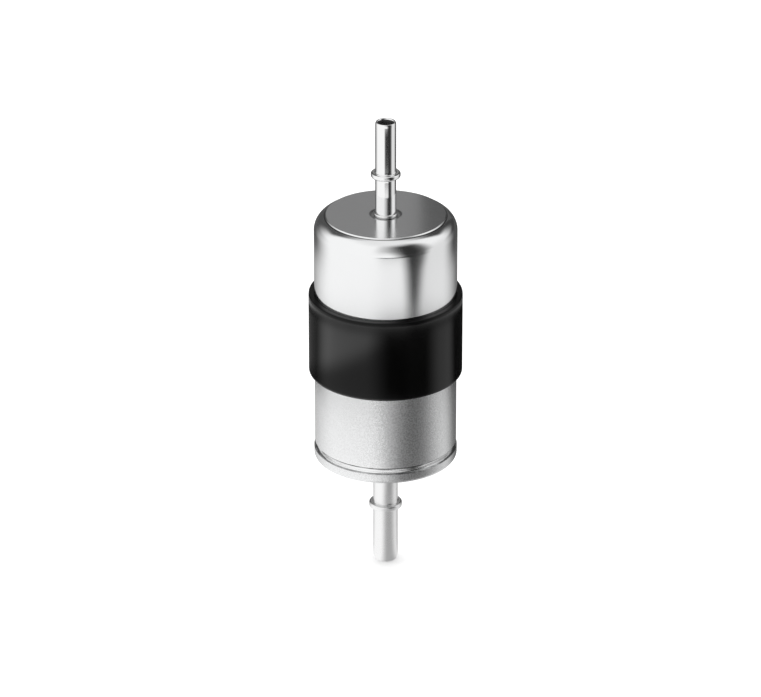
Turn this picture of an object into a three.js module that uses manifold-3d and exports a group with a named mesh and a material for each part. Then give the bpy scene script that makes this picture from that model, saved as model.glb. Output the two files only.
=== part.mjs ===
// In-line fuel filter: a drawn metal can with a beaded quick-connect tube at each end, a rubber
// isolator sleeve round the can and a spring-loaded pleated element inside.
// Millimetres, +Z up along the filter's axis, origin at the lower end of the inlet tube.

import * as THREE from "three";
import { mergeVertices } from "three/addons/utils/BufferGeometryUtils.js";
import Module from "manifold-3d";

const wasm = await Module();
wasm.setup();

// Can
const can_od = 54;
const can_height = 99.85;
const can_wall = 0.8;
const shoulder_radius = 6.2;
const disc_inset = 4.15;
const disc_raise = 0.15;
const disc_edge_radius = 0.25;
const dimple_floor_width = 1.2;
const dimple_slope = 0.9;
const dimple_depth = 0.35;
const groove_lift = 5.2;
const groove_height = 2.2;
const groove_depth = 0.9;
const hem_step = 0.3;
const hem_width = 2.8;
const hem_corner_radius = 1.8;

// Tubes
const tube_wall = 0.89;
const outlet_tube_od = 7.89;
const outlet_reach = 37.45;
const outlet_stub = 8.2;
const outlet_bead_od = 11.2;
const outlet_bead_thickness = 2.2;
const outlet_bead_lift = 16.2;
const outlet_nose_length = 1.4;
const inlet_tube_od = 9.49;
const inlet_reach = 45.1;
const inlet_stub = 1.5;
const inlet_bead_od = 12.7;
const inlet_bead_thickness = 2.4;
const inlet_bead_drop = 21.8;
const inlet_nose_length = 3.1;
const nose_inset = 0.48;
const braze_width = 0.4;
const braze_height = 0.9;

// Base cover and seam
const cover_wall = 1;
const cover_recess_depth = 4;
const cover_flange_width = 3.3;
const cover_slope = 1;
const gasket_width = 1.4;

// Rubber sleeve
const sleeve_wall = 2;
const sleeve_height = 32;
const sleeve_lift = 35.9;
const sleeve_chamfer = 0.4;

// Filter element
const fuel_gap = 3.4;
const end_disc_wall = 0.8;
const end_disc_lip = 4;
const potting_height = 0.85;
const media_thickness = 0.5;
const pleat_count = 36;
const media_to_lip = 0.2;
const core_to_media = 0.9;
const core_to_grommet = 0.8;
const core_wall = 0.6;
const core_hole_diameter = 3;
const core_hole_columns = 8;
const core_hole_rows = 6;
const core_end_band = 7;
const grommet_wall = 2.5;
const grommet_height = 6;
const grommet_lower_flange = 1.55;
const grommet_waist_depth = 1.1;
const clip_thickness = 0.3;
const clip_leg = 4;
const clip_end_gap = 1;
const pleat_ring_thickness = 0.8;
const pleat_ring_shares = [0.3, 0.7];

// Spring and inlet deflector
const spring_height = 14.5;
const spring_wire = 1.6;
const spring_mean_diameter = 21.4;
const spring_turns = 4.25;
const spring_dead_turns = 0.75;
const spring_boss_height = 1.2;
const deflector_wall = 0.8;
const deflector_dome_height = 8;
const deflector_window_width = 5;
const deflector_windows = 4;

// Fits
const clearance = 0.15;
const cut_overrun = 2;

// Facets
const can_facets = 36;
const tube_facets = 24;
const hole_facets = 8;
const wire_sides = 5;
const wire_steps_per_turn = 12;
const full_turn = 2 * Math.PI;

// Radii
const can_r = can_od / 2;
const can_inner_r = can_r - can_wall;
const hem_r = can_r + hem_step;
const disc_r = can_r - disc_inset;
const outlet_r = outlet_tube_od / 2;
const inlet_r = inlet_tube_od / 2;
const dimple_floor_r = outlet_r + clearance + dimple_floor_width;
const dimple_r = dimple_floor_r + dimple_slope;
const end_disc_r = can_inner_r - fuel_gap;
const media_r = end_disc_r - end_disc_wall - media_to_lip;
const grommet_r = outlet_r + clearance + grommet_wall;
const waist_r = grommet_r - grommet_waist_depth;
const core_r = grommet_r + core_to_grommet + core_wall;
const media_inner_r = core_r + core_to_media;
const spring_inner_r = (spring_mean_diameter - spring_wire) / 2;
const spring_outer_r = (spring_mean_diameter + spring_wire) / 2;
const boss_r = spring_inner_r * Math.cos(Math.PI / wire_steps_per_turn) - clearance;
const dome_r = boss_r;
const deflector_r = spring_outer_r + clearance;

// Heights
const hem_z = inlet_reach;
const disc_z = hem_z + can_height;
const top_z = disc_z + outlet_reach;
const groove_z = hem_z + groove_lift;
const dimple_z = disc_z - dimple_depth;
const flange_z = hem_z + can_wall + clearance;
const cover_z = hem_z + cover_recess_depth;
const cover_top_z = cover_z + cover_wall;
const deflector_z = cover_top_z + clearance;
const spring_z = deflector_z + deflector_wall + clearance;
const inlet_disc_z = spring_z + spring_height + clearance;
const grommet_z = dimple_z - can_wall - clearance - grommet_height;
const outlet_disc_z = grommet_z + grommet_lower_flange + clearance;
const core_top_z = outlet_disc_z - clearance;
const core_z = inlet_disc_z + end_disc_wall + clearance;
const media_z = core_z + potting_height + clearance;
const media_top_z = core_top_z - potting_height - clearance;

// A line of points moved sideways to its left, with mitred corners
function offset_line(points, distance, closed) {
  const count = points.length;
  return points.map(([x, y], i) => {
    const before = closed || i > 0 ? points[(i + count - 1) % count] : null;
    const after = closed || i < count - 1 ? points[(i + 1) % count] : null;
    const normals = [];
    if (before) normals.push(left_normal(before, [x, y]));
    if (after) normals.push(left_normal([x, y], after));
    const sum = normals.reduce((a, b) => [a[0] + b[0], a[1] + b[1]]);
    const length_squared = sum[0] ** 2 + sum[1] ** 2;
    const scale = (normals.length * distance) / length_squared;
    return [x + sum[0] * scale, y + sum[1] * scale];
  });
}

function left_normal([x0, y0], [x1, y1]) {
  const length = Math.hypot(x1 - x0, y1 - y0);
  return [-(y1 - y0) / length, (x1 - x0) / length];
}

// Section of a sheet bent along a line, with its thickness on the line's left
function sheet(points, thickness) {
  return [...points, ...offset_line(points, thickness, false).reverse()];
}

// Points of an arc in the half plane of radius and height, angles in degrees from outward
function arc(centre_r, centre_z, radius, from, to, steps) {
  const points = [];
  for (let i = 0; i <= steps; i++) {
    const angle = THREE.MathUtils.degToRad(from + ((to - from) * i) / steps);
    points.push([centre_r + radius * Math.cos(angle), centre_z + radius * Math.sin(angle)]);
  }
  return points;
}

// Quarter of an ellipse from [r0, z0], which it leaves along Z, to [r1, z1]
function nose(r0, z0, r1, z1, steps) {
  const points = [];
  for (let i = 0; i <= steps; i++) {
    const angle = (i / steps) * (Math.PI / 2);
    points.push([r1 + (r0 - r1) * Math.cos(angle), z0 + (z1 - z0) * Math.sin(angle)]);
  }
  return points;
}

// Solid of revolution: the section runs counter-clockwise in the half plane
function revolve(section, facets) {
  const on_axis = section[0][0] === 0 && section.at(-1)[0] === 0;
  const loop = on_axis ? section : [...section, section[0]];
  const points = loop.map(([r, z]) => new THREE.Vector2(r, z));
  return new THREE.LatheGeometry(points, facets).rotateX(Math.PI / 2);
}

function rectangle(inner_r, outer_r, low_z, high_z) {
  return [[inner_r, low_z], [outer_r, low_z], [outer_r, high_z], [inner_r, high_z]];
}

// Geometry to and from the boolean library, with shared vertices merged and slivers dropped
function to_solid(geometry) {
  const bare = geometry.clone();
  bare.deleteAttribute("normal");
  bare.deleteAttribute("uv");
  const merged = mergeVertices(bare);
  const vertProperties = new Float32Array(merged.attributes.position.array);
  const corners = merged.index.array;
  const kept = [];
  for (let i = 0; i < corners.length; i += 3) {
    const [a, b, c] = corners.slice(i, i + 3);
    if (a !== b && b !== c && c !== a) kept.push(a, b, c);
  }
  return new wasm.Manifold(new wasm.Mesh({ numProp: 3, vertProperties, triVerts: new Uint32Array(kept) }));
}

function to_geometry(solid) {
  const mesh = solid.getMesh();
  const geometry = new THREE.BufferGeometry();
  geometry.setAttribute("position", new THREE.BufferAttribute(mesh.vertProperties, mesh.numProp));
  geometry.setIndex(new THREE.BufferAttribute(mesh.triVerts, 1));
  return geometry;
}

// Can: drawn cup with a raised end disc, a seat groove and a rolled hem
function can() {
  const shoulder_centre_r = can_r - shoulder_radius;
  const shoulder_z = disc_z - disc_raise - shoulder_radius;
  const half_groove = groove_height / 2;
  const groove_radius = (half_groove ** 2 + groove_depth ** 2) / (2 * groove_depth);
  const groove_centre_r = can_r - groove_depth + groove_radius;
  const outer_sweep = THREE.MathUtils.radToDeg(Math.asin(half_groove / groove_radius));
  const inner_radius = groove_radius + can_wall;
  const inner_reach = groove_centre_r - can_inner_r;
  const inner_sweep = THREE.MathUtils.radToDeg(Math.acos(inner_reach / inner_radius));
  const outer_end = THREE.MathUtils.radToDeg(Math.acos((disc_r - shoulder_centre_r) / shoulder_radius));
  const plateau_r = disc_r - disc_edge_radius - can_wall;
  const inner_shoulder = shoulder_radius - can_wall;
  const inner_start = THREE.MathUtils.radToDeg(Math.acos((plateau_r - shoulder_centre_r) / inner_shoulder));
  const hem_centre_r = hem_r - hem_corner_radius;
  const hem_centre_z = hem_z + hem_corner_radius;
  const hole_r = outlet_r + clearance;
  return revolve([
    [hem_r - hem_width, hem_z],
    ...arc(hem_centre_r, hem_centre_z, hem_corner_radius, -90, 0, 4),
    [hem_r, groove_z - half_groove],
    ...arc(groove_centre_r, groove_z, groove_radius, 180 + outer_sweep, 180 - outer_sweep, 6),
    ...arc(shoulder_centre_r, shoulder_z, shoulder_radius, 0, outer_end, 6),
    ...arc(disc_r - disc_edge_radius, disc_z - disc_edge_radius, disc_edge_radius, 0, 90, 2),
    [dimple_r, disc_z],
    [dimple_floor_r, dimple_z],
    [hole_r, dimple_z],
    [hole_r, dimple_z - can_wall],
    [dimple_r, dimple_z - can_wall],
    [dimple_r + dimple_slope, disc_z - can_wall],
    [plateau_r, disc_z - can_wall],
    ...arc(shoulder_centre_r, shoulder_z, inner_shoulder, inner_start, 0, 4),
    ...arc(groove_centre_r, groove_z, inner_radius, 180 - inner_sweep, 180 + inner_sweep, 4),
    [hem_r - can_wall, groove_z - half_groove - can_wall],
    ...arc(hem_centre_r, hem_centre_z, hem_corner_radius - can_wall, 0, -90, 2),
    [hem_r - hem_width, hem_z + can_wall],
  ], can_facets);
}

// Base cover: pressed plate seamed into the can, recessed, with the inlet tube through it
function base_cover() {
  const flange_r = hem_r - hem_corner_radius;
  const recess_r = flange_r - cover_flange_width;
  const underside = [
    [inlet_r + clearance, cover_z],
    [recess_r - cover_slope, cover_z],
    [recess_r, flange_z],
    [flange_r, flange_z],
  ];
  return revolve(sheet(underside, cover_wall), can_facets);
}

// Seam gasket: fills the space between the cover's flange and the groove
function seam_gasket() {
  const outer_r = can_inner_r;
  const low_z = flange_z + cover_wall + clearance;
  const high_z = groove_z - groove_height / 2 - can_wall - clearance;
  return revolve(rectangle(outer_r - gasket_width, outer_r, low_z, high_z), can_facets);
}

// Bead raised on a tube: straight flanks and a round crown
function bead(tube_r, bead_od, thickness, z) {
  const radius = thickness / 2;
  const crown_r = Math.max(bead_od / 2 - radius, tube_r);
  const upper = nose(bead_od / 2, z, crown_r, z + radius, 3);
  const lower = nose(bead_od / 2, z, crown_r, z - radius, 3).reverse();
  return [[tube_r, z - radius], ...lower.slice(0, -1), ...upper, [tube_r, z + radius]];
}

function outlet_tube() {
  const bore_r = outlet_r - tube_wall;
  const low_z = disc_z - outlet_stub;
  const bead_z = disc_z + outlet_bead_lift;
  return revolve([
    [bore_r, low_z],
    [outlet_r, low_z],
    ...bead(outlet_r, outlet_bead_od, outlet_bead_thickness, bead_z),
    ...nose(outlet_r, top_z - outlet_nose_length, outlet_r - nose_inset, top_z, 3),
    [bore_r, top_z],
  ], tube_facets);
}

function inlet_tube() {
  const bore_r = inlet_r - tube_wall;
  const bead_z = hem_z - inlet_bead_drop;
  const high_z = cover_top_z + inlet_stub;
  return revolve([
    [bore_r, 0],
    ...nose(inlet_r, inlet_nose_length, inlet_r - nose_inset, 0, 3).reverse(),
    ...bead(inlet_r, inlet_bead_od, inlet_bead_thickness, bead_z),
    [inlet_r, high_z],
    [bore_r, high_z],
  ], tube_facets);
}

// Braze fillet round a tube, on the face at base_z, up or down with side 1 or -1
function braze_ring(tube_r, base_z, side) {
  const inner_r = tube_r + clearance;
  const foot_z = base_z + side * clearance;
  const crest_z = foot_z + side * braze_height;
  const shoulder_z = crest_z - side * braze_width;
  const section = [
    [inner_r, foot_z],
    [inner_r + braze_width, foot_z],
    ...nose(inner_r + braze_width, shoulder_z, inner_r, crest_z, 3),
  ];
  return revolve(side > 0 ? section : section.reverse(), tube_facets);
}

function isolator_sleeve() {
  const inner_r = can_r + clearance;
  const outer_r = inner_r + sleeve_wall;
  const low_z = hem_z + sleeve_lift;
  const high_z = low_z + sleeve_height;
  return revolve([
    [inner_r, low_z],
    [outer_r - sleeve_chamfer, low_z],
    [outer_r, low_z + sleeve_chamfer],
    [outer_r, high_z - sleeve_chamfer],
    [outer_r - sleeve_chamfer, high_z],
    [inner_r, high_z],
  ], can_facets);
}

// Pleated paper: a sheet folded to and fro between two radii, closed on itself
function pleated_media() {
  const inner_line_r = media_inner_r + media_thickness / 2;
  const outer_line_r = media_r - media_thickness / 2;
  const pitch = full_turn / pleat_count;
  const fold_share = 0.25;
  const fold = pitch * fold_share;
  const line = [];
  for (let i = 0; i < pleat_count; i++) {
    const angle = i * pitch;
    line.push(polar(outer_line_r, angle - fold), polar(outer_line_r, angle + fold));
    line.push(polar(inner_line_r, angle + pitch / 2 - fold), polar(inner_line_r, angle + pitch / 2 + fold));
  }
  const shape = new THREE.Shape(offset_line(line, -media_thickness / 2, true).map(to_vector));
  shape.holes.push(new THREE.Path(offset_line(line, media_thickness / 2, true).map(to_vector)));
  const depth = media_top_z - media_z;
  return new THREE.ExtrudeGeometry(shape, { depth, bevelEnabled: false }).translate(0, 0, media_z);
}

function polar(radius, angle) {
  return [radius * Math.cos(angle), radius * Math.sin(angle)];
}

function to_vector([x, y]) {
  return new THREE.Vector2(x, y);
}

// Strip folded over the outer fold where the paper's two ends meet
function pleat_seam_clip() {
  const fold_half_width = media_r * Math.sin(full_turn / pleat_count / 4) + media_thickness / 2;
  const inside = fold_half_width + clearance;
  const outside = inside + clip_thickness;
  const web_r = media_r + clearance;
  const tip_r = media_r - clip_leg;
  const outline = [
    [tip_r, -outside], [web_r + clip_thickness, -outside],
    [web_r + clip_thickness, outside], [tip_r, outside],
    [tip_r, inside], [web_r, inside],
    [web_r, -inside], [tip_r, -inside],
  ];
  const low_z = inlet_disc_z + end_disc_wall + end_disc_lip + clip_end_gap;
  const high_z = outlet_disc_z - end_disc_lip - clip_end_gap;
  const shape = new THREE.Shape(outline.map(to_vector));
  const settings = { depth: high_z - low_z, bevelEnabled: false };
  return new THREE.ExtrudeGeometry(shape, settings).translate(0, 0, low_z);
}

// Glue bead of six-sided section round the pleats' outer folds, at a share of the paper's height
function pleat_ring(height_share) {
  const radius = pleat_ring_thickness / 2;
  const centre_r = media_r + 2 * clearance + clip_thickness + radius;
  const z = media_z + (media_top_z - media_z) * height_share;
  return revolve(arc(centre_r, z, radius, 0, 300, 5), can_facets);
}

// Perforated centre tube that the paper leans on
function core_tube() {
  const wall = rectangle(core_r - core_wall, core_r, core_z, core_top_z);
  let tube = to_solid(revolve(wall, can_facets));
  const hole_r = core_hole_diameter / 2;
  const first_z = core_z + core_end_band;
  const row_pitch = (core_top_z - core_end_band - first_z) / (core_hole_rows - 1);
  for (let row = 0; row < core_hole_rows; row++) {
    for (let column = 0; column < core_hole_columns; column++) {
      const turn = ((column + (row % 2) / 2) / core_hole_columns) * full_turn;
      const cutter = new THREE.CylinderGeometry(hole_r, hole_r, core_wall + cut_overrun, hole_facets)
        .rotateZ(Math.PI / 2)
        .translate(core_r - core_wall / 2, 0, first_z + row * row_pitch)
        .rotateZ(turn);
      tube = tube.subtract(to_solid(cutter));
    }
  }
  return to_geometry(tube);
}

// Outlet end disc: open at the middle for the grommet, with a lip turned down round the paper
function outlet_end_disc() {
  const top_side = [
    [end_disc_r, outlet_disc_z - end_disc_lip],
    [end_disc_r, outlet_disc_z + end_disc_wall],
    [waist_r + clearance, outlet_disc_z + end_disc_wall],
  ];
  return revolve(sheet(top_side, end_disc_wall), can_facets);
}

// Inlet end disc: closed, with a lip turned up and a boss that centres the spring
function inlet_end_disc() {
  const plate_top = inlet_disc_z + end_disc_wall;
  return revolve([
    [0, inlet_disc_z - spring_boss_height],
    [boss_r, inlet_disc_z - spring_boss_height],
    [boss_r, inlet_disc_z],
    [end_disc_r, inlet_disc_z],
    [end_disc_r, plate_top + end_disc_lip],
    [end_disc_r - end_disc_wall, plate_top + end_disc_lip],
    [end_disc_r - end_disc_wall, plate_top],
    [0, plate_top],
  ], can_facets);
}

// Adhesive that bonds the paper's end into an end disc
function potting_ring(low_z) {
  const inner_r = core_r + clearance;
  const outer_r = end_disc_r - end_disc_wall - clearance;
  return revolve(rectangle(inner_r, outer_r, low_z, low_z + potting_height), can_facets);
}

// Rubber grommet: seals the element on the outlet tube's stub, its waist holds the end disc
function outlet_grommet() {
  const inner_r = outlet_r + clearance;
  const waist_low = outlet_disc_z - clearance;
  const waist_high = outlet_disc_z + end_disc_wall + clearance;
  return revolve([
    [inner_r, grommet_z],
    [grommet_r, grommet_z],
    [grommet_r, waist_low],
    [waist_r, waist_low],
    [waist_r, waist_high],
    [grommet_r, waist_high],
    [grommet_r, grommet_z + grommet_height],
    [inner_r, grommet_z + grommet_height],
  ], tube_facets);
}

// Inlet deflector: flanged dome over the inlet tube, windowed, with the spring round it
function inlet_deflector() {
  const dome_z = deflector_z + deflector_dome_height;
  const roof_side = [
    [deflector_r, deflector_z + deflector_wall],
    [dome_r, deflector_z + deflector_wall],
    [dome_r, dome_z],
    [0, dome_z],
  ];
  const inside = [
    [0, dome_z - deflector_wall],
    [dome_r - deflector_wall, dome_z - deflector_wall],
    [dome_r - deflector_wall, deflector_z],
    [deflector_r, deflector_z],
  ];
  let dome = to_solid(revolve([...inside, ...roof_side], can_facets));
  const window_low = deflector_z + 2 * deflector_wall;
  const window_high = dome_z - 2 * deflector_wall;
  for (let i = 0; i < deflector_windows; i++) {
    const size = [deflector_wall + cut_overrun, deflector_window_width, window_high - window_low];
    const cutter = new THREE.BoxGeometry(...size)
      .translate(dome_r - deflector_wall / 2, 0, (window_low + window_high) / 2)
      .rotateZ((i / deflector_windows) * full_turn);
    dome = dome.subtract(to_solid(cutter));
  }
  return to_geometry(dome);
}

// Coil spring: dead turns lie flat at both ends, the rest climbs evenly
function element_spring() {
  const steps = Math.round(spring_turns * wire_steps_per_turn);
  const wire_r = spring_wire / 2;
  const coil_r = spring_mean_diameter / 2;
  const dead = spring_dead_turns / spring_turns;
  const climb = spring_height - spring_wire;
  const positions = [];
  for (let i = 0; i <= steps; i++) {
    const along = i / steps;
    const angle = along * spring_turns * full_turn;
    const rise = THREE.MathUtils.clamp((along - dead) / (1 - 2 * dead), 0, 1);
    const centre_z = spring_z + wire_r + climb * rise;
    for (let side = 0; side < wire_sides; side++) {
      const turn = (side / wire_sides) * full_turn;
      const radius = coil_r + wire_r * Math.cos(turn);
      positions.push(...polar(radius, angle), centre_z + wire_r * Math.sin(turn));
    }
  }
  const indices = [];
  for (let i = 0; i < steps; i++) {
    for (let side = 0; side < wire_sides; side++) {
      const next = (side + 1) % wire_sides;
      const [a, b] = [i * wire_sides + side, i * wire_sides + next];
      const [c, d] = [a + wire_sides, b + wire_sides];
      indices.push(a, c, b, b, c, d);
    }
  }
  for (let side = 1; side < wire_sides - 1; side++) {
    const end = steps * wire_sides;
    indices.push(0, side, side + 1, end, end + side + 1, end + side);
  }
  const geometry = new THREE.BufferGeometry();
  geometry.setAttribute("position", new THREE.Float32BufferAttribute(positions, 3));
  geometry.setIndex(indices);
  return geometry;
}

function material(color, roughness, metalness) {
  return new THREE.MeshStandardMaterial({ color, roughness, metalness });
}

const bright_metal = material(0xd4d6d8, 0.18, 1);
const tube_metal = material(0xd8d9da, 0.12, 1);
const braze_metal = material(0xe0e0df, 0.2, 1);
const cover_metal = material(0xb9bbbd, 0.35, 1);
const rubber = material(0x161616, 0.6, 0);
const seal_rubber = material(0x1d1c1b, 0.7, 0);
const paper = material(0xd9c48a, 0.95, 0);
const adhesive = material(0xb8a26a, 0.6, 0);
const inner_steel = material(0x9ea2a5, 0.4, 1);
const spring_steel = material(0x6f7377, 0.35, 1);

const group = new THREE.Group();

function add(name, geometry, surface) {
  const mesh = new THREE.Mesh(geometry, surface);
  mesh.name = name;
  group.add(mesh);
}

add("can", can(), bright_metal);
add("base_cover", base_cover(), cover_metal);
add("seam_gasket", seam_gasket(), seal_rubber);
add("outlet_tube", outlet_tube(), tube_metal);
add("outlet_braze_ring", braze_ring(outlet_r, dimple_z, 1), braze_metal);
add("inlet_tube", inlet_tube(), tube_metal);
add("inlet_braze_ring", braze_ring(inlet_r, cover_z, -1), braze_metal);
add("isolator_sleeve", isolator_sleeve(), rubber);
add("pleated_media", pleated_media(), paper);
add("pleat_seam_clip", pleat_seam_clip(), inner_steel);
add("pleat_ring_lower", pleat_ring(pleat_ring_shares[0]), adhesive);
add("pleat_ring_upper", pleat_ring(pleat_ring_shares[1]), adhesive);
add("core_tube", core_tube(), inner_steel);
add("outlet_end_disc", outlet_end_disc(), inner_steel);
add("inlet_end_disc", inlet_end_disc(), inner_steel);
add("outlet_potting_ring", potting_ring(core_top_z - potting_height), adhesive);
add("inlet_potting_ring", potting_ring(core_z), adhesive);
add("outlet_grommet", outlet_grommet(), seal_rubber);
add("inlet_deflector", inlet_deflector(), inner_steel);
add("element_spring", element_spring(), spring_steel);

export default group;
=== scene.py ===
"""Looks of the in-line fuel filter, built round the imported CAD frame.

Sections are in millimetres, objects in metres.
"""

import math

import bmesh
import bpy
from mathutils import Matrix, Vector

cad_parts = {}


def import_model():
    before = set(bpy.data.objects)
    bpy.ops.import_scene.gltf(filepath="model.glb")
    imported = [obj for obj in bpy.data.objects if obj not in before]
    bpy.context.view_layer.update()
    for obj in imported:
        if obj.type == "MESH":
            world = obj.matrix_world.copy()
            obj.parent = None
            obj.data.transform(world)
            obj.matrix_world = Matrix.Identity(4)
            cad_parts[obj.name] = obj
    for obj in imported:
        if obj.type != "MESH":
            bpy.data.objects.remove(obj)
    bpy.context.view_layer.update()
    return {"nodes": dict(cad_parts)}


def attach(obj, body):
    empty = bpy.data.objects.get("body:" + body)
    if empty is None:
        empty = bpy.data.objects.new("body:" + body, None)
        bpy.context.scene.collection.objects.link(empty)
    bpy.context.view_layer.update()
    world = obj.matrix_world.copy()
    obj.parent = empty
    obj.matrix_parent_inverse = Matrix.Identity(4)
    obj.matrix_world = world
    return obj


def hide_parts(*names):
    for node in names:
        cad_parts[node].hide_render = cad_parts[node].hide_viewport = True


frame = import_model()

MM = 0.001
IMAGE_WIDTH = 761
FOCAL_PIXELS = 4743.0

# Heights and radii of the CAD model, in millimetres
HEM_Z, GROOVE_Z, DISC_Z, TOP_Z = 45.1, 50.3, 144.95, 182.4
CAN_R, HEM_R, DISC_R = 27.0, 27.3, 22.85
SHOULDER_R, SHOULDER_Z, SHOULDER = 20.8, 138.6, 6.2
SHOULDER_INNER, GROOVE_INNER = 5.4, 1.9222
OUTLET_R, INLET_R = 3.945, 4.745
OUTLET_BORE, INLET_BORE = 3.055, 3.855
OUTLET_HOLE, INLET_HOLE = 4.095, 4.895
OUTLET_BEAD_Z, INLET_BEAD_Z = 161.15, 23.3
COVER_Z, FLANGE_Z = 49.1, 46.05
SLEEVE_LOW, SLEEVE_HIGH = 81.0, 113.0
SLEEVE_INNER, SLEEVE_OUTER = 27.06, 29.15

# Edges that bend more than this stay sharp, in degrees
SHARP_EDGE = 32


# Sections
def arc(centre_r, centre_z, radius, start, end, steps):
    """Points of an arc in the half plane of radius and height, angles in degrees from outward."""
    points = []
    for i in range(steps + 1):
        angle = math.radians(start + (end - start) * i / steps)
        points.append((centre_r + radius * math.cos(angle), centre_z + radius * math.sin(angle)))
    return points


def nose(r0, z0, r1, z1, steps):
    """Quarter of an ellipse from (r0, z0), which it leaves along Z, to (r1, z1)."""
    points = []
    for i in range(steps + 1):
        angle = i / steps * math.pi / 2
        points.append((r1 + (r0 - r1) * math.cos(angle), z0 + (z1 - z0) * math.sin(angle)))
    return points


def rounded(corners, steps=6):
    """Open line through corners (r, z, fillet radius), with each fillet drawn as an arc."""
    points = []
    last = len(corners) - 1
    for i, (r, z, fillet) in enumerate(corners):
        here = Vector((r, z))
        if i in (0, last) or fillet == 0:
            points.append((r, z))
            continue
        back = Vector(corners[i - 1][:2]) - here
        ahead = Vector(corners[i + 1][:2]) - here
        half = back.angle(ahead) / 2
        reach = min(fillet / math.tan(half), 0.49 * min(back.length, ahead.length))
        radius = reach * math.tan(half)
        centre = here + (back.normalized() + ahead.normalized()).normalized() * (radius / math.sin(half))
        start, end = here + back.normalized() * reach, here + ahead.normalized() * reach
        a0 = math.atan2(start.y - centre.y, start.x - centre.x)
        a1 = math.atan2(end.y - centre.y, end.x - centre.x)
        turn = (a1 - a0 + math.pi) % (2 * math.pi) - math.pi
        for k in range(steps + 1):
            a = a0 + turn * k / steps
            points.append((centre.x + radius * math.cos(a), centre.y + radius * math.sin(a)))
    return points


def spaced(points, least=0.004):
    """Drops points that all but repeat the one before."""
    kept = []
    for p in points:
        if not kept or math.dist(p, kept[-1]) > least:
            kept.append(p)
    if math.dist(kept[0], kept[-1]) <= least:
        kept.pop()
    return kept


def revolve(name, section, segments, body, replaced, material):
    """Closed solid of revolution with smooth shading and sharp edges kept sharp."""
    section = spaced(section)
    bm = bmesh.new()
    rings = []
    for i in range(segments):
        angle = 2 * math.pi * (i + 0.5) / segments
        c, s = math.cos(angle), math.sin(angle)
        rings.append([bm.verts.new((r * c * MM, r * s * MM, z * MM)) for r, z in section])
    count = len(section)
    for i in range(segments):
        a, b = rings[i], rings[(i + 1) % segments]
        for k in range(count):
            n = (k + 1) % count
            bm.faces.new((a[k], b[k], b[n], a[n]))
    bmesh.ops.recalc_face_normals(bm, faces=bm.faces)
    for face in bm.faces:
        face.smooth = True
    for edge in bm.edges:
        edge.smooth = edge.calc_face_angle(0) < math.radians(SHARP_EDGE)
    mesh = bpy.data.meshes.new(name)
    bm.to_mesh(mesh)
    bm.free()
    piece = bpy.data.objects.new(name, mesh)
    bpy.context.scene.collection.objects.link(piece)
    mesh.materials.append(material)
    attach(piece, body)
    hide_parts(*replaced)


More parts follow.
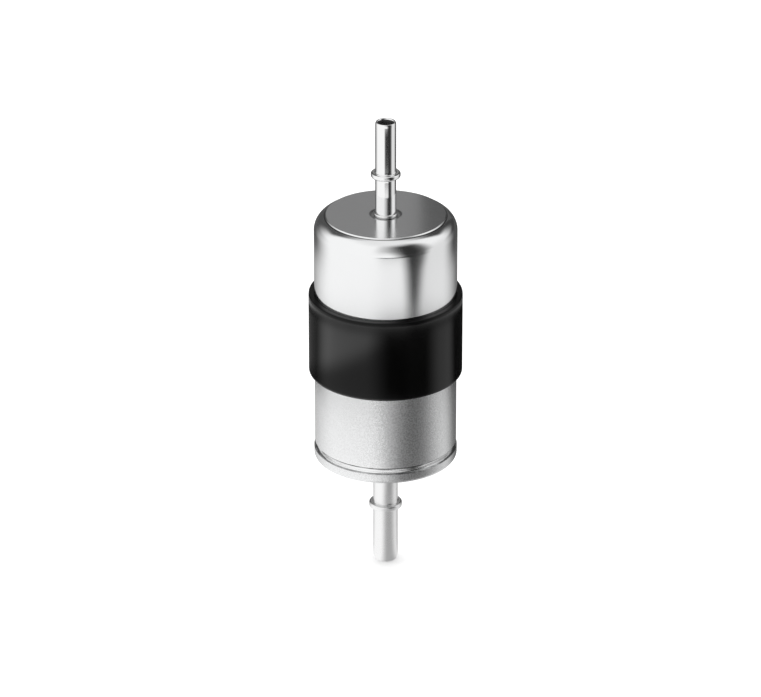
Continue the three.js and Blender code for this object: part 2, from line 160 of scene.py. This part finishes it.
# Node graphs
class Graph:
    """Short calls for making shader nodes."""

    def __init__(self, tree):
        self.tree = tree
        tree.nodes.clear()

    def node(self, kind, **settings):
        made = self.tree.nodes.new(kind)
        for key, value in settings.items():
            setattr(made, key, value)
        return made

    def plug(self, socket, value):
        if isinstance(value, bpy.types.NodeSocket):
            self.tree.links.new(value, socket)
        elif value is not None:
            socket.default_value = value

    def math(self, operation, a, b=None):
        made = self.node("ShaderNodeMath", operation=operation)
        for socket, value in zip(made.inputs, (a, b)):
            self.plug(socket, value)
        return made.outputs[0]

    def ramp(self, value, low, high, to_low=0.0, to_high=1.0, smooth=True):
        """Value mapped from low..high to to_low..to_high, held at both ends."""
        kind = "SMOOTHSTEP" if smooth else "LINEAR"
        made = self.node("ShaderNodeMapRange", interpolation_type=kind)
        for socket, v in zip(made.inputs, (value, low, high, to_low, to_high)):
            self.plug(socket, v)
        return made.outputs[0]

    def mix(self, share, a, b):
        made = self.node("ShaderNodeMix", data_type="FLOAT")
        for socket, value in zip(made.inputs[:4], (share, None, a, b)):
            self.plug(socket, value)
        return made.outputs[0]

    def blend(self, share, a, b):
        """Mix of two colours."""
        made = self.node("ShaderNodeMix", data_type="RGBA")
        self.plug(made.inputs[0], share)
        self.plug(made.inputs[6], a)
        self.plug(made.inputs[7], b)
        return made.outputs[2]

    def noise(self, vector, scale, detail=2.0, roughness=0.5):
        made = self.node("ShaderNodeTexNoise")
        self.plug(made.inputs["Vector"], vector)
        self.plug(made.inputs["Scale"], scale)
        self.plug(made.inputs["Detail"], detail)
        self.plug(made.inputs["Roughness"], roughness)
        return made.outputs["Fac"]

    def xyz(self, vector):
        made = self.node("ShaderNodeSeparateXYZ")
        self.plug(made.inputs[0], vector)
        return made.outputs

    def azimuth(self, x, y):
        """Degrees round the axis from the -Y side, positive towards +X."""
        return self.math("DEGREES", self.math("ARCTAN2", x, self.math("MULTIPLY", y, -1.0)))

    def radius(self, x, y):
        """Distance from the axis in millimetres."""
        square = self.math("ADD", self.math("MULTIPLY", x, x), self.math("MULTIPLY", y, y))
        return self.math("DIVIDE", self.math("SQRT", square), MM)

    def surface(self, kind, colour, strength=None):
        """Shader of one kind: emission, background or diffuse."""
        made = self.node(kind)
        self.plug(made.inputs["Color"], colour)
        if strength is not None:
            self.plug(made.inputs["Strength"], strength)
        return made.outputs[0]

    def choose(self, share, a, b):
        """Mix of two shaders."""
        made = self.node("ShaderNodeMixShader")
        for socket, value in zip(made.inputs, (share, a, b)):
            self.plug(socket, value)
        return made.outputs[0]

    def stretched(self, vector, scale):
        made = self.node("ShaderNodeMapping")
        self.plug(made.inputs["Vector"], vector)
        made.inputs["Scale"].default_value = scale
        return made.outputs[0]

    def bump(self, height, distance, strength=1.0, normal=None):
        made = self.node("ShaderNodeBump")
        self.plug(made.inputs["Strength"], strength)
        self.plug(made.inputs["Distance"], distance)
        self.plug(made.inputs["Height"], height)
        self.plug(made.inputs["Normal"], normal)
        return made.outputs[0]

    def near(self, value, centre, half, soft):
        """1 where value is within half of centre, falling to 0 over soft."""
        gap = self.math("ABSOLUTE", self.math("SUBTRACT", value, centre))
        return self.ramp(gap, half - soft / 2, half + soft / 2, 1.0, 0.0)


def grey(level):
    return (level, level, level, 1.0)


def new_material(name):
    material = bpy.data.materials.new(name)
    material.use_nodes = True
    graph = Graph(material.node_tree)
    output = graph.node("ShaderNodeOutputMaterial")
    shader = graph.node("ShaderNodeBsdfPrincipled")
    graph.tree.links.new(shader.outputs[0], output.inputs[0])
    place = graph.node("ShaderNodeTexCoord").outputs["Object"]
    return material, graph, shader, place


# Materials
def can_material():
    material, g, shader, place = new_material("can_steel")
    x, y, z = g.xyz(place)
    height = g.math("DIVIDE", z, MM)
    turned, radius = g.azimuth(x, y), g.radius(x, y)
    # The drawn upper half and the end disc are burnished, the lower half is matt and grainy
    satin = g.ramp(height, 108.0, 84.0)
    groove = g.near(height, GROOVE_Z + 0.05, 1.25, 0.2)
    satin = g.math("MULTIPLY", satin, g.math("SUBTRACT", 1.0, groove))
    disc = g.math("MULTIPLY", g.ramp(height, DISC_Z - 0.6, DISC_Z - 0.3),
                  g.ramp(radius, DISC_R, DISC_R - 0.4))
    patches = g.noise(place, 60.0, 3.0)
    grain = g.ramp(g.noise(place, 1700.0, 2.0, 0.6), 0.36, 0.64)
    # The grain is strongest a little right of the front, where it also darkens the tone: partly grain,
    # partly a painted dark reflection band
    front = g.ramp(g.near(turned, 19.0, 12.0, 76.0), 0.0, 1.0, 0.15, 1.0, False)
    grain_and_painted_band = g.math("MULTIPLY", front, satin)
    matt = g.mix(grain_and_painted_band, 0.24, g.mix(grain, 0.31, 0.35))
    rough = g.mix(satin, g.mix(patches, 0.1, 0.15), matt)
    rough = g.mix(disc, rough, g.mix(patches, 0.17, 0.23))
    rough = g.mix(groove, rough, 0.06)
    g.plug(shader.inputs["Roughness"], rough)
    # Painted shade in the two seam lines of the groove, thin and a little uneven
    upper_seam_shade = g.near(height, GROOVE_Z + 0.78, 0.26, 0.16)
    lower_seam_shade = g.math("MULTIPLY", g.near(height, GROOVE_Z - 1.1, 0.16, 0.16), 0.65)
    seam_shade = g.math("MAXIMUM", upper_seam_shade, lower_seam_shade)
    uneven = g.ramp(g.noise(place, 260.0, 2.0), 0.3, 0.6, 0.45, 1.0)
    seam_shade = g.math("MULTIPLY", seam_shade, uneven)
    tone = g.blend(patches, (0.885, 0.89, 0.893, 1), (0.92, 0.925, 0.93, 1))
    # Grain darkens the tone most in the front band: partly grain, partly painted dark reflection
    tone = g.blend(g.math("MULTIPLY", grain, g.math("MULTIPLY", grain_and_painted_band, 0.8)), tone, grey(0.45))
    tone = g.blend(seam_shade, tone, grey(0.06))
    # Darker grey ring round the brazed tube
    dark_ring = g.math("MULTIPLY", g.near(radius, 5.1, 0.6, 1.3), g.ramp(height, DISC_Z - 1.0, DISC_Z - 0.6))
    tone = g.blend(g.math("MULTIPLY", dark_ring, 0.8), tone, grey(0.34))
    # Painted shade in the crease under the end disc's edge
    crease = g.math("MULTIPLY", g.near(height, DISC_Z - 0.56, 0.1, 0.1),
                    g.near(radius, DISC_R + 0.1, 0.3, 0.1))
    tone = g.blend(g.math("MULTIPLY", crease, 0.7), tone, grey(0.12))
    g.plug(shader.inputs["Base Color"], tone)
    shader.inputs["Metallic"].default_value = 1.0
    grain_bump = g.bump(grain, 0.022 * MM, grain_and_painted_band)
    wave = g.bump(g.noise(place, 42.0, 1.0), 0.25 * MM, 0.2, grain_bump)
    lines = g.noise(g.stretched(place, (0.01, 0.01, 1.0)), 2400.0, 2.0)
    drawn = g.bump(lines, 0.03 * MM, groove, wave)
    g.plug(shader.inputs["Normal"], drawn)
    return material


def tube_material(name, rough_low, rough_high, streak, bore):
    material, g, shader, place = new_material(name)
    x, y, z = g.xyz(place)
    # The bore is painted a darker grey than the outside: painted shade inside the tube
    inside = g.ramp(g.radius(x, y), bore + 0.06, bore + 0.02)
    drawn = g.noise(g.stretched(place, (1.0, 1.0, 0.06)), 2600.0, 2.0)
    patches = g.noise(place, 150.0, 2.0)
    outside = g.blend(patches, grey(0.9), grey(0.95))
    g.plug(shader.inputs["Base Color"], g.blend(inside, outside, grey(0.3)))
    g.plug(shader.inputs["Roughness"], g.mix(inside, g.mix(patches, rough_low, rough_high), 0.5))
    shader.inputs["Metallic"].default_value = 1.0
    g.plug(shader.inputs["Normal"], g.bump(drawn, 0.004 * MM, streak))
    return material


def rubber_material(name, tone_low, tone_high, rough_low, rough_high, relief, dull_above=None):
    material, g, shader, place = new_material(name)
    mottle = g.noise(place, 90.0, 3.0)
    pores = g.noise(place, 2400.0, 2.0)
    g.plug(shader.inputs["Base Color"], g.blend(mottle, grey(tone_low), grey(tone_high)))
    rough = g.mix(mottle, rough_low, rough_high)
    shader.inputs["IOR"].default_value = 1.62
    if dull_above:
        height = g.math("DIVIDE", g.xyz(place)[2], MM)
        dull = g.ramp(height, dull_above - 1.2, dull_above)
        rough = g.mix(dull, rough, 0.3)
        g.plug(shader.inputs["Specular IOR Level"], g.mix(dull, 0.5, 0.14))
    g.plug(shader.inputs["Roughness"], rough)
    g.plug(shader.inputs["Normal"], g.bump(pores, 0.01 * MM, relief))
    return material


def plated_material(name, tone, rough, metallic=1.0):
    """Plated or sprung steel, adhesive or paper: mottled tone, uneven gloss and a fine bump."""
    material, g, shader, place = new_material(name)
    mottle = g.noise(place, 180.0, 3.0)
    fine = g.noise(place, 1800.0, 2.0)
    darker = tuple(0.82 * v for v in tone) + (1.0,)
    g.plug(shader.inputs["Base Color"], g.blend(mottle, darker, tuple(tone) + (1.0,)))
    g.plug(shader.inputs["Roughness"], g.mix(fine, rough - 0.07, rough + 0.07))
    shader.inputs["Metallic"].default_value = metallic
    g.plug(shader.inputs["Normal"], g.bump(fine, 0.008 * MM, 0.6))
    return material


CAN = can_material()
OUTLET = tube_material("outlet_steel", 0.06, 0.09, 0.03, OUTLET_BORE)
INLET = tube_material("inlet_steel", 0.24, 0.32, 0.5, INLET_BORE)
SLEEVE = rubber_material("sleeve_rubber", 0.0012, 0.0022, 0.06, 0.09, 0.03, SLEEVE_HIGH - 0.7)
SEAL = rubber_material("seal_rubber", 0.01, 0.016, 0.5, 0.6, 0.35)
BRAZE = plated_material("braze_fillet", (0.94, 0.94, 0.94), 0.2)
COVER = plated_material("cover_steel", (0.82, 0.82, 0.82), 0.3)
INNER = plated_material("inner_steel", (0.7, 0.7, 0.69), 0.34)
SPRING = plated_material("spring_steel", (0.42, 0.42, 0.43), 0.38)
PAPER = plated_material("filter_paper", (0.72, 0.6, 0.36), 0.88, 0.0)
GLUE = plated_material("potting_adhesive", (0.12, 0.13, 0.14), 0.42, 0.0)

CARRIED = {
    "seam_gasket": SEAL, "outlet_grommet": SEAL, "pleated_media": PAPER,
    "pleat_ring_lower": GLUE, "pleat_ring_upper": GLUE,
    "outlet_potting_ring": GLUE, "inlet_potting_ring": GLUE,
    "pleat_seam_clip": INNER, "core_tube": INNER, "outlet_end_disc": INNER,
    "inlet_end_disc": INNER, "inlet_deflector": INNER, "element_spring": SPRING,
}
for node_name, material in CARRIED.items():
    for material_slot in frame["nodes"][node_name].material_slots:
        material_slot.material = material


# Pieces
def can_section():
    """Hem, groove, wall, shoulder and end disc on the outside, then back down on the inside."""
    hem_inner, hem_top = 24.5, GROOVE_Z - 1.05
    seam_r, groove_low_r, groove_high_r = 26.75, 26.408, 26.122
    outer = rounded([
        (hem_inner, HEM_Z + 0.6, 0),
        (hem_inner, HEM_Z, 0.36),
        (HEM_R, HEM_Z, 1.8),
        (HEM_R, hem_top, 0.25),
        (seam_r, hem_top, 0.12),
        (groove_low_r + 0.022, GROOVE_Z - 0.9, 0.1),
        (groove_low_r, GROOVE_Z - 0.77, 0),
        (26.3, GROOVE_Z - 0.15, 0),
        (groove_high_r, GROOVE_Z + 0.87, 0),
        (groove_high_r - 0.022, GROOVE_Z + 1.0, 0.1),
        (CAN_R - 0.38, GROOVE_Z + 1.15, 0.12),
        (CAN_R, GROOVE_Z + 1.3, 0.08),
        (CAN_R, GROOVE_Z + 4.7, 0),
    ], 8)
    wall_low, wall_high, wall_step = 61, 137, 6
    outer += [(CAN_R, z) for z in range(wall_low, wall_high, wall_step)]
    # The shoulder's arc stops a little short of the disc's edge, which leaves a crease
    crease_angle = math.radians(2.5)
    top_angle = math.acos((DISC_R - SHOULDER_R) / SHOULDER) - crease_angle
    outer += arc(SHOULDER_R, SHOULDER_Z, SHOULDER, 0, math.degrees(top_angle), 28)
    outer += rounded([
        (SHOULDER_R + SHOULDER * math.cos(top_angle), SHOULDER_Z + SHOULDER * math.sin(top_angle), 0),
        (DISC_R - 0.02, DISC_Z - 0.5, 0.08),
        (DISC_R - 0.06, DISC_Z - 0.34, 0.12),
        (DISC_R - 0.4, DISC_Z, 0.2),
        (21.6, DISC_Z, 0),
    ], 8)
    outer += [(ring_r, DISC_Z) for ring_r in (20.0, 16.0, 12.0, 8.5)]
    dimple_z = DISC_Z - 0.35
    outer += rounded([
        (7.2, DISC_Z, 0), (6.3, DISC_Z, 1.2), (5.4, dimple_z, 0.9), (OUTLET_HOLE, dimple_z, 0),
    ], 8)
    disc_inner, disc_under, dimple_under = 21.8, DISC_Z - 0.8, 143.8
    inner_angle = math.degrees(math.acos((disc_inner - SHOULDER_R) / SHOULDER_INNER))
    inner = [
        (OUTLET_HOLE, dimple_under), (6.195, dimple_under), (7.095, disc_under), (disc_inner, disc_under),
    ]
    inner += arc(SHOULDER_R, SHOULDER_Z, SHOULDER_INNER, inner_angle, 0, 14)
    inner += arc(27.222, GROOVE_Z, GROOVE_INNER, 122.1, 237.9, 12)
    inner += [(26.5, 48.4)] + arc(25.5, 46.9, 1.0, 0, -90, 6) + [(24.86, 45.9)]
    return outer + inner


def bead(tube_r, bead_od, thickness, z):
    """Rolled bead, upwards: a small fillet at each foot and a round crown."""
    half = thickness / 2
    crown = bead_od / 2
    return rounded([
        (tube_r, z - half - 1.0, 0),
        (tube_r, z - half + 0.05, 0.32),
        (crown, z - half + 0.05, half - 0.1),
        (crown, z + half - 0.05, half - 0.1),
        (tube_r, z + half - 0.05, 0.32),
        (tube_r, z + half + 1.0, 0),
    ], 12)


def outlet_section():
    foot_z, bead_od, bead_thickness = 136.75, 11.2, 2.2
    section = [(OUTLET_BORE, foot_z), (OUTLET_R, foot_z)]
    section += bead(OUTLET_R, bead_od, bead_thickness, OUTLET_BEAD_Z)
    section += [(OUTLET_R, 176.0)]
    section += nose(OUTLET_R, TOP_Z - 1.3, 3.55, TOP_Z, 10)
    section += nose(OUTLET_BORE, TOP_Z - 0.8, 3.53, TOP_Z, 8)[::-1]
    return section + [(OUTLET_BORE, 180.5)]


def inlet_section():
    nose_z, bead_od, bead_thickness, head_z = 3.1, 12.7, 2.4, 51.6
    section = rounded([(INLET_BORE, 2.5, 0), (INLET_BORE, 0.0, 0.35), (4.24, 0.0, 0)], 6)
    section += nose(INLET_R, nose_z, 4.25, 0.0, 14)[::-1]
    section += bead(INLET_R, bead_od, bead_thickness, INLET_BEAD_Z)
    return section + [(INLET_R, head_z), (INLET_BORE, head_z)]


def braze_section(tube_r, base_z, side):
    """Fillet of braze: a soft round bead in the corner of tube and plate, upwards for side 1."""
    inner, outer = tube_r - 0.03, tube_r + 0.55
    section = [
        (inner, base_z - side * 0.1),
        (outer, base_z - side * 0.1),
        (outer, base_z + side * 0.2),
    ]
    section += nose(outer, base_z + side * 0.25, tube_r + 0.08, base_z + side * 0.93, 8)
    return section + [(inner, base_z + side * 1.02)]


def cover_section():
    flange_r, plate = 25.48, 1
    under = rounded([
        (INLET_HOLE, COVER_Z, 0), (21.2, COVER_Z, 1.1), (22.2, FLANGE_Z, 1.0), (flange_r, FLANGE_Z, 0),
    ], 8)
    over = rounded([
        (flange_r, FLANGE_Z + plate, 0), (22.92, FLANGE_Z + plate, 0.4),
        (21.92, COVER_Z + plate, 1.6), (INLET_HOLE, COVER_Z + plate, 0),
    ], 8)
    return under + over


def sleeve_section():
    middle = (SLEEVE_LOW + SLEEVE_HIGH) / 2
    return rounded([
        (SLEEVE_INNER, middle, 0),
        (SLEEVE_INNER, SLEEVE_LOW, 0.15),
        (SLEEVE_OUTER, SLEEVE_LOW, 0.35),
        (SLEEVE_OUTER, SLEEVE_LOW + 0.8, 0),
        (SLEEVE_OUTER, SLEEVE_LOW + 1.2, 0),
        (SLEEVE_OUTER, SLEEVE_HIGH - 2.0, 0),
        (SLEEVE_OUTER, SLEEVE_HIGH - 1.2, 0.6),
        (SLEEVE_OUTER - 0.08, SLEEVE_HIGH, 0.4),
        (SLEEVE_INNER, SLEEVE_HIGH, 0.12),
        (SLEEVE_INNER, middle + 0.01, 0),
    ], 8)


revolve("can_shell", can_section(), 192, "housing", ["can"], CAN)
revolve("outlet_pipe", outlet_section(), 96, "housing", ["outlet_tube"], OUTLET)
revolve("inlet_pipe", inlet_section(), 96, "housing", ["inlet_tube"], INLET)
revolve("outlet_fillet", braze_section(OUTLET_R, DISC_Z - 0.05, 1), 96, "housing",
        ["outlet_braze_ring"], BRAZE)
revolve("inlet_fillet", braze_section(INLET_R, COVER_Z - 0.1, -1), 96, "housing",
        ["inlet_braze_ring"], BRAZE)
revolve("cover_plate", cover_section(), 128, "housing", ["base_cover"], COVER)
revolve("rubber_sleeve", sleeve_section(), 192, "sleeve", ["isolator_sleeve"], SLEEVE)


# Studio
def between(g, azimuth, left, left_soft, right, right_soft):
    """1 from left to right, with edges and softness that may vary."""
    from_left = g.ramp(g.math("DIVIDE", g.math("SUBTRACT", azimuth, left), left_soft), -0.5, 0.5)
    to_right = g.ramp(g.math("DIVIDE", g.math("SUBTRACT", azimuth, right), right_soft), -0.5, 0.5,
                      1.0, 0.0)
    return g.math("MULTIPLY", from_left, to_right)


def sides(g, azimuth, left, right):
    """Level by azimuth, from one profile for the left half and one for the right."""
    return g.mix(g.ramp(azimuth, 15.0, 55.0), left, right)


def surroundings(g, azimuth, reach):
    """What the metal and rubber mirror from the floor: pale all round, with soft dark zones.

    Azimuth is in degrees from the front, positive to the right, and reach is in millimetres from the axis.
    """
    turned = g.math("DIVIDE", azimuth, 31.0)
    bent = g.math("ADD", reach, g.math("MULTIPLY", turned, turned))
    # Far floor, seen in the upper can, with a narrow dark stem that widens outwards
    farther = g.ramp(reach, 282.0, 318.0)
    far_right = g.ramp(azimuth, 98.0, g.mix(farther, 157.0, 136.0), g.mix(farther, 0.84, 0.78),
                       g.mix(farther, 0.16, 0.08))
    far_left = g.ramp(azimuth, g.mix(farther, -98.0, -92.0), g.mix(farther, -166.0, -147.0), 1.0,
                      g.mix(farther, 0.36, 0.1))
    level = sides(g, azimuth, far_left, far_right)
    stem_left = g.math("SUBTRACT", g.ramp(reach, 285.0, 345.0, 35.5, 29.5, False),
                       g.ramp(reach, 345.0, 480.0, 0.0, 10.0))
    stem = between(g, azimuth, stem_left, g.ramp(reach, 345.0, 500.0, 21.0, 30.0),
                   g.ramp(reach, 285.0, 350.0, 52.5, 66.5, False), 18.0)
    inside = g.math("ADD", g.ramp(azimuth, 42.0, 66.0, 0.0, 0.11),
                    g.ramp(reach, 290.0, 350.0, 0.065, 0.035))
    level = g.mix(g.math("MULTIPLY", stem, g.ramp(reach, 263.0, 281.0)), level, inside)
    # Dark strip that the outlet tube mirrors
    strip = g.math("MULTIPLY", g.ramp(reach, 352.0, 386.0), g.ramp(reach, 510.0, 440.0))
    level = g.mix(g.math("MULTIPLY", strip, g.near(azimuth, 20.0, 30.0, 20.0)), level, 0.03)
    # Middle floor, seen in the sleeve
    cloud = g.math("ADD", reach, g.math("MULTIPLY", azimuth, -0.475))
    left = g.math("MULTIPLY", g.ramp(azimuth, -32.0, 10.0, 1.0, 0.0),
                  g.ramp(cloud, 242.0, 265.0, 0.28, 1.0))
    left = g.math("MULTIPLY", left, g.ramp(azimuth, -122.0, -86.0, 0.12, 1.0))
    right = g.math("MULTIPLY", g.ramp(azimuth, 56.0, 86.0, 0.02, 0.38),
                   g.ramp(azimuth, 98.0, 122.0, 1.0, 0.04))
    middle = g.mix(g.ramp(azimuth, 20.0, 40.0), left, right)
    middle = g.math("MULTIPLY", middle, g.ramp(bent, 257.0, 262.0, 1.0, 0.35))
    zone = g.math("MULTIPLY", g.ramp(bent, 269.0, 266.0), g.ramp(bent, 190.0, 193.0))
    level = g.mix(zone, level, middle)
    # Near floor, seen in the lower can
    near_right = g.ramp(azimuth, 100.0, 138.0, 0.66, 0.14)
    close = sides(g, azimuth, g.ramp(azimuth, -80.0, -160.0, 1.0, 0.55), near_right)
    close = g.mix(g.near(azimuth, 39.0, 33.0, 52.0), close, 0.14)
    level = g.mix(g.ramp(bent, 193.0, 190.0), level, close)
    # Floor at the foot, seen in the inlet tube
    foot = sides(g, azimuth, g.ramp(azimuth, -100.0, -150.0, 1.0, 0.5),
                 g.ramp(azimuth, 100.0, 130.0, 0.8, 0.5))
    foot = g.mix(g.near(azimuth, 28.0, 42.0, 56.0), foot, 0.4)
    return g.mix(g.ramp(reach, 88.0, 74.0), level, foot)


def floor():
    mesh = bpy.data.meshes.new("studio_floor")
    bm = bmesh.new()
    radius, corners, below_part = 6.0, 64, -0.0002
    turns = [2 * math.pi * i / corners for i in range(corners)]
    bm.faces.new([bm.verts.new((radius * math.cos(a), radius * math.sin(a), below_part)) for a in turns])
    bm.to_mesh(mesh)
    bm.free()
    piece = bpy.data.objects.new("studio_floor", mesh)
    bpy.context.scene.collection.objects.link(piece)
    material = bpy.data.materials.new("studio_floor")
    material.use_nodes = True
    g = Graph(material.node_tree)
    x, y, z = g.xyz(g.node("ShaderNodeTexCoord").outputs["Object"])
    azimuth, reach = g.azimuth(x, y), g.radius(x, y)
    mirrored = g.surface("ShaderNodeEmission", surroundings(g, azimuth, reach))
    paint = g.surface("ShaderNodeBsdfDiffuse", grey(0.8))
    # The floor that the camera sees glows less close to the tube's end, mostly in front of it: a painted
    # contact shadow from ambient occlusion
    painted_shadow_occlusion = g.node("ShaderNodeAmbientOcclusion")
    painted_shadow_occlusion.inputs["Distance"].default_value = 9 * MM
    lean = g.node("ShaderNodeCombineXYZ")
    for socket, value in zip(lean.inputs, (0.0, 0.8, 0.6)):
        socket.default_value = value
    g.plug(painted_shadow_occlusion.inputs["Normal"], lean.outputs[0])
    strength = g.ramp(painted_shadow_occlusion.outputs["AO"], 0.4, 1.0, 0.14, 0.46, False)
    seen = g.node("ShaderNodeAddShader")
    g.plug(seen.inputs[0], g.surface("ShaderNodeEmission", grey(1.0), strength))
    g.plug(seen.inputs[1], g.surface("ShaderNodeBsdfDiffuse", grey(1.0)))
    path = g.node("ShaderNodeLightPath").outputs
    by_camera = g.choose(path["Is Camera Ray"], paint, seen.outputs[0])
    by_gloss = g.choose(path["Is Glossy Ray"], by_camera, mirrored)
    # From below, the camera looks through the floor
    clear = g.node("ShaderNodeBsdfTransparent").outputs[0]
    underside = g.node("ShaderNodeNewGeometry").outputs["Backfacing"]
    below = g.math("MULTIPLY", underside, path["Is Camera Ray"])
    g.plug(g.node("ShaderNodeOutputMaterial").inputs[0], g.choose(below, by_gloss, clear))
    material.cycles.emission_sampling = "NONE"
    mesh.materials.append(material)


def world():
    made = bpy.data.worlds.new("studio")
    bpy.context.scene.world = made
    made.use_nodes = True
    made.cycles.sampling_method = "NONE"
    g = Graph(made.node_tree)
    direction = g.node("ShaderNodeTexCoord").outputs["Generated"]
    x, y, z = g.xyz(direction)
    azimuth = g.azimuth(x, y)
    rise = g.math("DEGREES", g.math("ARCSINE", z))
    turned = g.math("ABSOLUTE", azimuth)
    high = g.ramp(rise, 2.0, 14.0)
    left = g.ramp(azimuth, g.mix(high, -92.0, -102.0), -147.0, 1.0, 0.08)
    right = g.ramp(azimuth, g.mix(high, 98.0, 108.0), g.mix(high, 136.0, 148.0),
                   g.ramp(rise, 0.0, 35.0, 0.8, 0.96), 0.05)
    level = sides(g, azimuth, left, right)
    # Low rear wall, mirrored by the end disc and the sides of the shoulder
    wall = g.mix(g.ramp(turned, 162.0, 174.0), g.ramp(azimuth, -40.0, 40.0, 0.085, 0.055), 0.235)
    share = g.math("MULTIPLY", g.ramp(turned, 106.0, 124.0), g.ramp(rise, 26.0, 40.0))
    level = g.mix(g.math("MAXIMUM", share, g.ramp(turned, 160.0, 172.0)), level, wall)
    # Dark gap right of the front, wider higher up
    gap = between(g, azimuth, g.ramp(rise, 0.0, 27.0, 18.0, 10.5, False),
                  g.ramp(rise, 0.0, 29.0, 30.0, 42.0), 70.0, 24.0)
    level = g.mix(gap, level, g.ramp(azimuth, 45.0, 67.0, 0.03, 0.15))
    tail = g.math("MULTIPLY", g.near(azimuth, 6.0, 20.0, 22.0), g.ramp(rise, 0.0, 32.0, 0.1, 0.36))
    level = g.mix(tail, level, 0.05)
    # Pale ceiling
    level = g.mix(g.ramp(rise, 48.0, 78.0), level, 0.86)
    light = g.surface("ShaderNodeBackground", grey(1.0), 0.8)
    white = g.surface("ShaderNodeBackground", grey(1.0))
    mirrored = g.surface("ShaderNodeBackground", level)
    path = g.node("ShaderNodeLightPath").outputs
    by_gloss = g.choose(path["Is Glossy Ray"], light, mirrored)
    by_camera = g.choose(path["Is Camera Ray"], by_gloss, white)
    g.plug(g.node("ShaderNodeOutputWorld").inputs[0], by_camera)


def softbox(name, place, aim, size, power):
    light = bpy.data.lights.new(name, "AREA")
    light.shape = "RECTANGLE"
    light.size, light.size_y = size
    light.energy = power
    lamp = bpy.data.objects.new(name, light)
    bpy.context.scene.collection.objects.link(lamp)
    lamp.location = place
    lamp.rotation_euler = (Vector(aim) - Vector(place)).to_track_quat("-Z", "Y").to_euler()
    lamp.visible_glossy = False


def backdrop_card():
    """Grey card behind the filter, mirrored by the end disc and seen only in reflections."""
    mesh = bpy.data.meshes.new("backdrop_card")
    left, right, behind, foot, head = 14.2, 69.2, 90, 150, 210
    corners = [(left, behind, foot), (right, behind, foot), (right, behind, head), (left, behind, head)]
    mesh.from_pydata([tuple(v * MM for v in corner) for corner in corners], [], [(0, 1, 2, 3)])
    card = bpy.data.objects.new("backdrop_card", mesh)
    bpy.context.scene.collection.objects.link(card)
    card.visible_camera = card.visible_diffuse = card.visible_shadow = False
    material = bpy.data.materials.new("backdrop_card")
    material.use_nodes = True
    shine = material.node_tree.nodes.new("ShaderNodeEmission")
    shine.inputs["Color"].default_value = grey(0.1)
    output = next(n for n in material.node_tree.nodes if n.bl_idname == "ShaderNodeOutputMaterial")
    material.node_tree.links.new(shine.outputs[0], output.inputs[0])
    material.cycles.emission_sampling = "NONE"
    mesh.materials.append(material)


def camera():
    """Camera of the photograph: 1.8 m off, 25.5 degrees above the horizon, aimed just left of the axis."""
    distance, elevation = 1.8, math.radians(25.5)
    aim = Vector((-0.00194, 0.0, 0.0891))
    back = Vector((0.0, -math.cos(elevation), math.sin(elevation)))
    data = bpy.data.cameras.new("photo_camera")
    data.sensor_width = 36.0
    data.lens = data.sensor_width * FOCAL_PIXELS / IMAGE_WIDTH
    made = bpy.data.objects.new("photo_camera", data)
    bpy.context.scene.collection.objects.link(made)
    made.location = aim + back * distance
    made.rotation_euler = (-back).to_track_quat("-Z", "Y").to_euler()
    data.clip_start, data.clip_end = 0.05, 50.0
    bpy.context.scene.camera = made


floor()
world()
backdrop_card()
softbox("key_softbox", (-0.3, -0.3, 1.6), (0, 0, 0.09), (0.9, 0.9), 3.5)
camera()
bpy.context.scene.view_settings.view_transform = "Standard"
